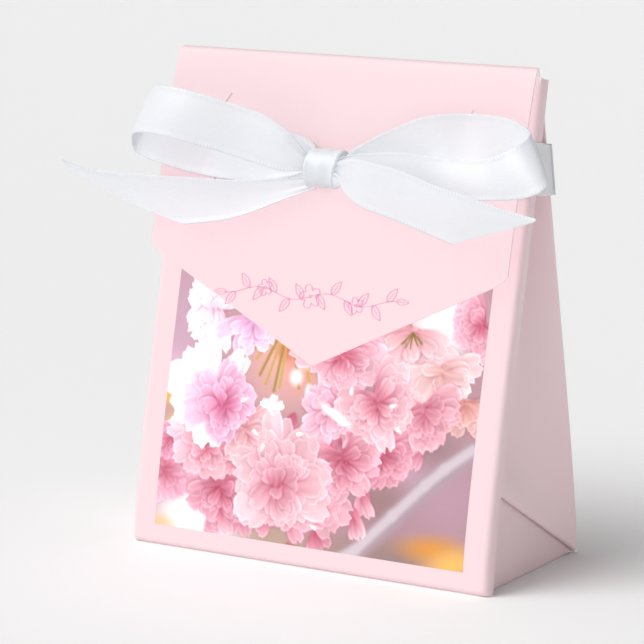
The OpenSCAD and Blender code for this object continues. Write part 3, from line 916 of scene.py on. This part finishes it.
def front_print():
    """The picture, a skin of ink on the front panel with its colours painted at every point."""
    art = paint()
    height = np.linspace(0, FRONT_TOP, 400)
    panel = np.column_stack([-half_depth(height), height])
    fine, coarse = 0.27, 1.2
    rows = np.concatenate([np.arange(PICTURE_LOW, FLAP_LEN + 1, fine),
                           np.arange(FLAP_LEN + 1.5, PICTURE_HIGH, coarse)])
    cols = np.linspace(-PICTURE_HALF, PICTURE_HALF, int(2 * PICTURE_HALF / fine) + 1)
    path = sample(np.column_stack([panel, normals_2d(panel)]), rows)
    skin = path[:, :2] + INK_LIFT * np.abs(path[:, 2:]) * (-1, 1)
    points = np.zeros((len(rows), len(cols), 3))
    points[:, :, 0] = cols[None, :]
    points[:, :, 1:] = skin[:, None, :]
    faces = [f[::-1] for f in grid_faces(len(rows), len(cols))]
    obj = mesh_object("front_print", points.reshape(-1, 3), faces, [ink_material()])
    # each point takes its colour from between the four nearest painted ones
    i = np.clip(np.interp(rows, art.v, np.arange(len(art.v))), 0, len(art.v) - 1.001)
    j = np.clip(np.interp(cols, art.u, np.arange(len(art.u))), 0, len(art.u) - 1.001)
    i0, j0 = i.astype(int), j.astype(int)
    fi, fj = (i - i0)[:, None, None], (j - j0)[None, :, None]

    def row(p):
        return art.rgb[np.ix_(p, j0)] * (1 - fj) + art.rgb[np.ix_(p, j0 + 1)] * fj

    gamma = 2.2
    colour = np.clip(row(i0) * (1 - fi) + row(i0 + 1) * fi, 0, 1) ** gamma
    rgba = np.concatenate([colour, np.ones(colour.shape[:2] + (1,))], axis=2)
    ink = obj.data.color_attributes.new("ink", "FLOAT_COLOR", "POINT")
    ink.data.foreach_set("color", rgba.astype(np.float32).ravel())
    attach(obj, "front")


# ---------------------------------------------------------------- ornament on the flap

def on_flap(x, down, lift):
    """Points at x, lifted off the flap's outer face at distance down from the ridge."""
    line = flap_curve(np.linspace(0, 1, 200))
    run = lengths(line)
    at = np.column_stack([np.interp(down, run, c) for c in (*line.T, *normals_2d(line).T)])
    outward = np.where(at[:, 2:3] > 0, -1, 1)
    return np.column_stack([x, at[:, :2] + outward * at[:, 2:] * lift])


def flourish():
    """Ornament of a wavy stem with outlined leaves and three small blossoms, in thin pen strokes."""
    mid, low, half = -2.5, 58.6, 24.0
    pen, thin, thick = 0.34, 0.2, 0.4
    strokes = []

    def stem(x):
        return 1.1 * np.sin(2.5 * math.pi * x / half)

    def leaf(x, angle, long, wide):
        """Pointed outline with a mid line."""
        t = np.linspace(0, 1, 24)
        c, s = math.cos(angle), math.sin(angle)
        for bow, reach, width in ((-wide / 2, 1, pen), (wide / 2, 1, pen), (0.0, 0.7, thin)):
            u, v = reach * long * t, bow * np.sin(math.pi * t ** 0.8)
            strokes.append((np.column_stack([x + u * c - v * s, stem(x) + u * s + v * c]), width))

    def blossom(x, size):
        """Five round petals, drawn in one stroke, and a dot of a heart."""
        t = np.linspace(0, 2 * math.pi, 100)
        for r, width in ((size * (0.42 + 0.58 * np.abs(np.sin(2.5 * t)) ** 0.6), pen), (0.35, 0.3)):
            strokes.append((np.column_stack([x + r * np.cos(t), stem(x) + r * np.sin(t)]), width))

    for part in np.array_split(np.linspace(-half, half, 240), 6):
        strokes.append((np.column_stack([part, stem(part)]), thick))
    for k, x in enumerate(np.linspace(-half + 2.5, half - 2.5, 12)):
        slant = 0.95 if k % 2 else -0.95
        leaf(x, slant if x > 0 else math.pi - slant, 4.2, 1.9)
    for x, size in ((-13.0, 2.1), (0.0, 3.0), (13.0, 2.1)):
        blossom(x, size)
    leaf(-half, math.pi, 3.4, 1.5)
    leaf(half, 0.0, 3.4, 1.5)

    # the pen's width changes with its direction
    nib = 0.16
    points, faces = [], []
    for line, width in strokes:
        d = np.gradient(line, axis=0)
        d /= np.maximum(np.linalg.norm(d, axis=1), 1e-9)[:, None]
        n = np.column_stack([-d[:, 1], d[:, 0]])
        swell = nib + (width - nib) * np.abs(n[:, 0]) ** 1.5
        side = n * swell[:, None] / 2
        base = len(points)
        points += list(np.stack([line + side, line - side], axis=1).reshape(-1, 2))
        for k in range(base, len(points) - 2, 2):
            faces.append([k, k + 2, k + 3, k + 1])
    flat = np.array(points)
    solid = on_flap(mid + flat[:, 0], low - flat[:, 1], INK_LIFT)
    ink = card_material("rose_ink", (0.86, 0.36, 0.56), 0.5, 0.03)
    obj = mesh_object("flap_flourish", solid, faces, [ink])
    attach(obj, "flap")


front_print()
flourish()


# ---------------------------------------------------------------- ribbon

# spacing of points along the ribbon, half its thickness, reach of the knot's grip, and places across it
STEP = 0.2
SATIN_HALF = 0.10
GRIP_RUN = 5.0
HALF_ACROSS = np.array([0.25, 0.5, 0.7, 0.85, 0.88, 0.93, 0.97, 1])
ACROSS = np.concatenate([-HALF_ACROSS[::-1], [0], HALF_ACROSS])


def ribbon(name, upper, lower, rests_on, shape=None, cut=None, picot=1.0):
    """Satin strip between two edge curves, each a list of points in millimetres.

    shape(along, across, length) moves the surface along its normal. cut gives the lengths of the lower and
    the upper edge where a slanting cut ends the ribbon."""
    both = np.column_stack([smooth_through(upper, 24), smooth_through(lower, 24)])
    mid_run = lengths((both[:, :3] + both[:, 3:]) / 2)
    length = mid_run[-1]
    share = np.linspace(0, 1, int(length / STEP) + 1)
    short, long = cut or (length, length)
    ends_at = short + (long - short) * (ACROSS + 1) / 2
    along = share[:, None] * ends_at[None, :]
    at = np.stack([np.interp(along, mid_run, both[:, k]) for k in range(6)], axis=2)
    blend = ((ACROSS + 1) / 2)[None, :, None]
    grid = at[:, :, 3:] * (1 - blend) + at[:, :, :3] * blend
    if shape is not None:
        across = np.repeat(ACROSS[None, :], len(grid), 0)
        grid = grid + surface_normals(grid) * shape(along, across, length)[:, :, None]
    return strip(name, grid, along, picot)


def strip(name, grid, along, picot):
    """Closes a grid of points into a thin ribbon with ribbed selvedges, and says what it was cut from."""
    rows, cols = grid.shape[:2]
    normal = surface_normals(grid)
    across = np.repeat(ACROSS[None, :], rows, 0)
    selvedge = ease((np.abs(across) - (1 - SELVEDGE)) / (SELVEDGE * 0.3))
    ribs = picot * (0.5 + 0.5 * np.cos(2 * math.pi * along / RIB_PITCH))
    half = SATIN_HALF + selvedge * (0.02 + 0.07 * ribs)
    side = np.zeros_like(grid)
    side[:, 0], side[:, -1] = grid[:, 0] - grid[:, 1], grid[:, -1] - grid[:, -2]
    side /= np.maximum(np.linalg.norm(side, axis=2), 1e-9)[:, :, None]
    grid = grid + side * (0.06 * ribs)[:, :, None]
    top, bottom = grid + normal * half[:, :, None], grid - normal * half[:, :, None]
    faces = grid_faces(rows, cols)
    inside, rim = closed(faces, rows * cols)
    cloth = np.stack([along, across * RIBBON_W / 2, 0 * along], axis=2).reshape(-1, 3)
    points = np.vstack([top.reshape(-1, 3), bottom.reshape(-1, 3)])
    obj = mesh_object(name, points, faces + inside + rim, [SATIN], cloth=np.vstack([cloth, cloth]))
    return obj


def surface_normals(grid):
    n = np.cross(np.gradient(grid, axis=0), np.gradient(grid, axis=1))
    return n / np.maximum(np.linalg.norm(n, axis=2), 1e-9)[:, :, None]


def satin_shape(cup, waves, pleat):
    """Surface of a bow ribbon: a slight cup across, slow waves along, pleats where the knot grips it.

    waves is a list of (height, wavelength, place of the first crest)."""
    def shape(along, across, length):
        lift = cup * (across ** 2 - 0.33)
        for height, wave, crest in waves:
            lift = lift + height * np.cos(2 * math.pi * (along - crest) / wave)
        grip = np.exp(-along / GRIP_RUN) + np.exp(-(length - along) / GRIP_RUN)
        lift = lift * np.clip(1 - grip, 0, 1)
        return lift + pleat * grip * np.cos(2.4 * math.pi * across + 0.6)
    return shape


# each bow piece: its edges from the knot outward, its surface, and where a slanting cut ends it
BOW = {
    "loop_left": {
        "upper": [(-2.5, -16, 99.5), (-4.6, -16.8, 101.4), (-7.6, -17.2, 104.6), (-10.5, -18, 107.4),
                  (-16.5, -19, 110.3), (-25, -19.5, 112.5), (-33, -19, 114), (-43, -17.5, 115),
                  (-51, -14.5, 114.5), (-53.5, -12, 111.5), (-50, -10, 108.5), (-34.5, -10.5, 107),
                  (-19.5, -11.5, 106), (-9.5, -12.6, 105), (-5.8, -13.6, 103.6), (-2.6, -14.2, 101.6)],
        "lower": [(-2.5, -16.8, 96.8), (-4.6, -17.6, 97), (-7.5, -18.6, 96.9), (-10.5, -19.4, 97),
                  (-19.5, -21, 99), (-28, -22, 101), (-36.5, -22, 102.5), (-45.5, -21, 103.5),
                  (-54.5, -18.5, 103), (-57.5, -15.5, 100), (-54, -13.5, 96.5), (-39, -14, 93.5),
                  (-21, -14.6, 92.8), (-11, -14.7, 94.4), (-7, -14.8, 95.8), (-2.8, -15, 96.8)],
        "shape": (0.35, [(1.4, 40, 22)], 0.35)},
    "loop_right": {
        "upper": [(2.5, -14.6, 99.8), (4.8, -14.2, 100.7), (9, -12.8, 104.0), (16, -11.5, 108),
                  (26, -11, 111.5), (36.5, -10.5, 113), (47, -11, 112.5), (53.6, -14, 111),
                  (55.4, -18, 108.7), (52.6, -21.5, 106.4), (44.5, -23, 103.9), (31, -22, 103.8),
                  (22, -20, 103.6), (9, -17, 102), (4.8, -16.4, 100.7), (2.6, -16, 99.8)],
        "lower": [(2.5, -15, 97), (4.8, -14.6, 97), (11.5, -14.2, 98), (19, -13.8, 98),
                  (29.5, -14, 100.5), (41, -14.5, 101.7), (51, -16, 101.4), (60.6, -19.5, 100.8),
                  (63, -22.5, 98.8), (60.4, -24.5, 96.8), (52.5, -25.5, 95.5), (37, -24.5, 94),
                  (25.5, -21.5, 94.5), (9.5, -17.5, 97.2), (4.8, -16.8, 97.3), (2.6, -16.5, 97.4)],
        "shape": (0.35, [(0.7, 24, 26)], 0.35)},
    "tail_left": {
        "upper": [(-2.6, -15.8, 96.2), (-4.6, -15.8, 95.4), (-11.5, -16, 94.6), (-25, -16.8, 93.2),
                  (-34, -17.2, 93), (-46, -17.5, 92.7), (-57.5, -17.8, 92.5), (-68.5, -18, 93),
                  (-76, -18.2, 94.6)],
        "lower": [(-2.6, -16.2, 92.8), (-4.6, -16.2, 92), (-10.5, -17.2, 89.5), (-23, -18.8, 84.5),
                  (-31, -19.4, 82.5), (-42, -19.8, 81), (-54, -20, 80.5), (-66, -20, 81.5), (-75, -20, 83)],
        "shape": (-0.3, [(0.3, 34, 20)], 0.3),
        "cut": (38.0, 75.5)},
    "tail_right": {
        "upper": [(2.6, -16.8, 98.8), (4.7, -17.4, 99.8), (10, -19.6, 101.2), (17, -22.5, 101.2),
                  (26.5, -25, 100), (35.5, -27, 98), (44, -28.2, 96.5), (54.5, -28.8, 94), (64, -28.8, 92.4)],
        "lower": [(2.6, -16.8, 96.6), (4.5, -17.4, 96.0), (8, -19.6, 92.8), (14, -22.5, 90.5),
                  (24, -25, 88.5), (35.5, -27, 86), (42.5, -28.2, 84.5), (52, -28.8, 82.5),
                  (61, -28.8, 80.5)],
        "shape": (-0.3, [(0.3, 30, 12)], 0.3),
        "cut": (43.0, 64.0)},
}


def bow_piece(name):
    """A loop or a tail, which turns on its own at the knot."""
    part = BOW[name]
    obj = ribbon("bow_" + name, part["upper"], part["lower"], ["bow_knot_wrap"],
                 satin_shape(*part["shape"]), cut=part.get("cut"))
    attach(obj, name)
    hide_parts(name)
    return obj


def knot():
    """Wrapped knot: one turn of ribbon drawn tight over the middle of the bow."""
    turns = np.linspace(math.pi, 3 * math.pi, 97)[:, None]
    v = ACROSS[None, :]
    half_w, half_y, half_z = 4.65, 3.4, 4.7
    up = np.array([0, math.sin(FLAP_LEAN), math.cos(FLAP_LEAN)])
    out = np.array([0, -math.cos(FLAP_LEAN), math.sin(FLAP_LEAN)])
    crown = 0.93 + 0.10 * np.abs(v) ** 2 - 0.14 * np.abs(v) ** 8
    pleat = 0.22 * np.cos(v * 6 + 0.5 * np.sin(turns))
    pleat = pleat + 0.12 * np.cos(v * 13 + 1.3 + np.sin(turns))
    r_out = (half_y * crown + pleat) * np.cos(turns)
    r_up = (half_z * (crown + 0.04) + pleat * 0.5) * np.sin(turns)
    x = half_w * v * (0.92 + 0.08 * np.sin(turns)) + 0.5 * np.sin(turns)
    across = np.array([1.0, 0, 0])
    grid = KNOT + x[:, :, None] * across + r_out[:, :, None] * out + r_up[:, :, None] * up
    tightness = 0.96
    round_run = math.pi * (half_y + half_z) * tightness
    along = np.repeat(turns * round_run / (2 * math.pi), len(ACROSS), 1)
    obj = strip("bow_knot_wrap", grid, along,
                picot=0.3)
    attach(obj, "flap")
    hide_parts("bow_knot")
    return obj


# the ribbon lies higher at the front than at the back, and a little off the card
SIDE_RISE = 1.2
BELT_HIGH_MID = BELT_MID + SIDE_RISE
GAP = 0.14
LEANS = {"back": (0, -math.sin(PANEL_LEAN), math.cos(PANEL_LEAN)), "side": (0, 0, 1.0),
         "front": (0, math.sin(FLAP_LEAN), math.cos(FLAP_LEAN))}


def edges(route):
    """Upper and lower edge of a ribbon that runs through (x, y, z, lean, half width)."""
    centre = np.array([stop[:3] for stop in route], float)
    width = np.array([np.array(LEANS[lean]) * half for _, _, _, lean, half in route])
    return centre + width, centre - width


def belt():
    """The ribbon round the back and both sides, its ends tucked behind the flap."""
    low, high = BELT_MID, BELT_HIGH_MID
    back_y, side_x = half_depth(low) + GAP, HALF_W + GAP
    front_y = -half_depth(high)
    half = [(0, back_y, low, "back"), (25, back_y, low, "back"), (HALF_W - 2, back_y, low, "back"),
            (HALF_W - 0.35, back_y - 0.3, low, "back"), (side_x, back_y - 1.7, low + 0.1, "back"),
            (side_x, 0, (low + high) / 2, "side"), (side_x, front_y + 1.4, high, "front"),
            (HALF_W - 0.25, front_y - 0.15, high, "front"), (HALF_W - 2, front_y - 0.45, high, "front"),
            (HALF_W - 6, front_y - 0.5, high, "front")]
    other = [(-x, y, z, lean) for x, y, z, lean in half[:0:-1]]
    route = [stop + (RIBBON_W / 2,) for stop in other + half]
    obj = ribbon("ribbon_belt", *edges(route), ["back_and_flap_card"], picot=0.4)
    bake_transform(obj)
    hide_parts("ribbon_back", "ribbon_side_left", "ribbon_side_right")


def strand(side):
    """From behind the flap, out of its slit and along its face into the knot."""
    name = "left" if side < 0 else "right"
    behind_y = -half_depth(BELT_HIGH_MID) - 0.9
    face_y, face_z = flap_curve(np.array([0.41]))[0]
    half = RIBBON_W / 2
    stops = [(HALF_W - 4, behind_y, BELT_HIGH_MID, half), (SLIT_X + 6, face_y + 1.9, face_z + 1.0, half),
             (SLIT_X + 1.5, face_y + 1.0, face_z + 0.7, half), (SLIT_X, face_y + 0.2, face_z + 0.5, half),
             (SLIT_X - 1.5, face_y - 0.35, face_z + 0.3, half), (SLIT_X - 5, face_y - 0.5, face_z, half),
             (18, face_y - 0.6, face_z, half), (8, face_y - 1.4, face_z, 5.0),
             (2.5, face_y - 3.2, KNOT[2], 2.5)]
    route = [(side * x, y, z, "front", wide) for x, y, z, wide in stops]
    obj = ribbon("satin_strand_" + name, *edges(route), ["back_and_flap_card"], picot=0.4)
    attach(obj, "flap")
    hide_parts("ribbon_strand_" + name)


bow = [knot()] + [bow_piece(name) for name in BOW]
belt()
for side in (-1, 1):
    strand(side)

lamps(stage, base, bow + [wrap])
